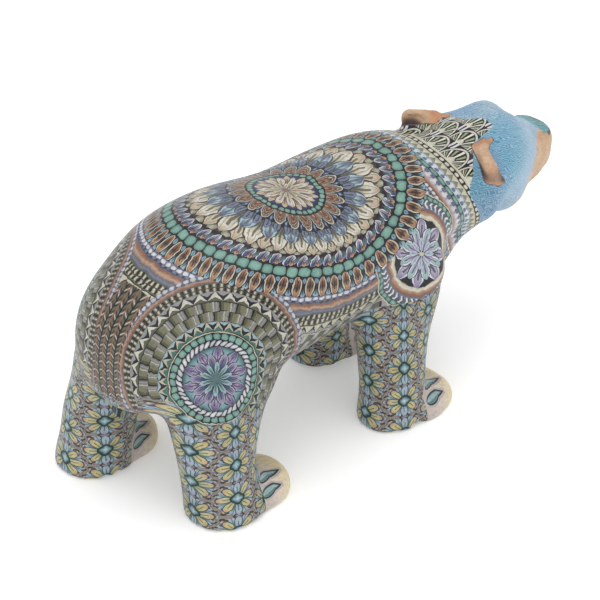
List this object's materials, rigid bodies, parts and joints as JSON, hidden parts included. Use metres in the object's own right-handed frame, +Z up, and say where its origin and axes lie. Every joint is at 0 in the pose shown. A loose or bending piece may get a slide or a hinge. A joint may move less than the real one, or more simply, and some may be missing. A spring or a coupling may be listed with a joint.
{
  "type": "polymer clay polar bear sculpture",
  "caption": "Small polar bear sculpture in baked polymer clay, standing in mid-stride on its four flat soles, covered in inlaid flower and band patterns.",
  "frame": {"origin": "middle of the bounding box at the height of the soles", "axes": "+X the way the bear faces, +Y its left side, +Z up"},
  "size_m": [0.2002, 0.078, 0.0944],
  "materials": {
    "polymer_clay": "baked polymer clay with inlaid patterned slices, sanded and buffed to a soft sheen"
  },
  "bodies": {
    "root": {"polar_bear": "polymer_clay"}
  },
  "joints": []
}
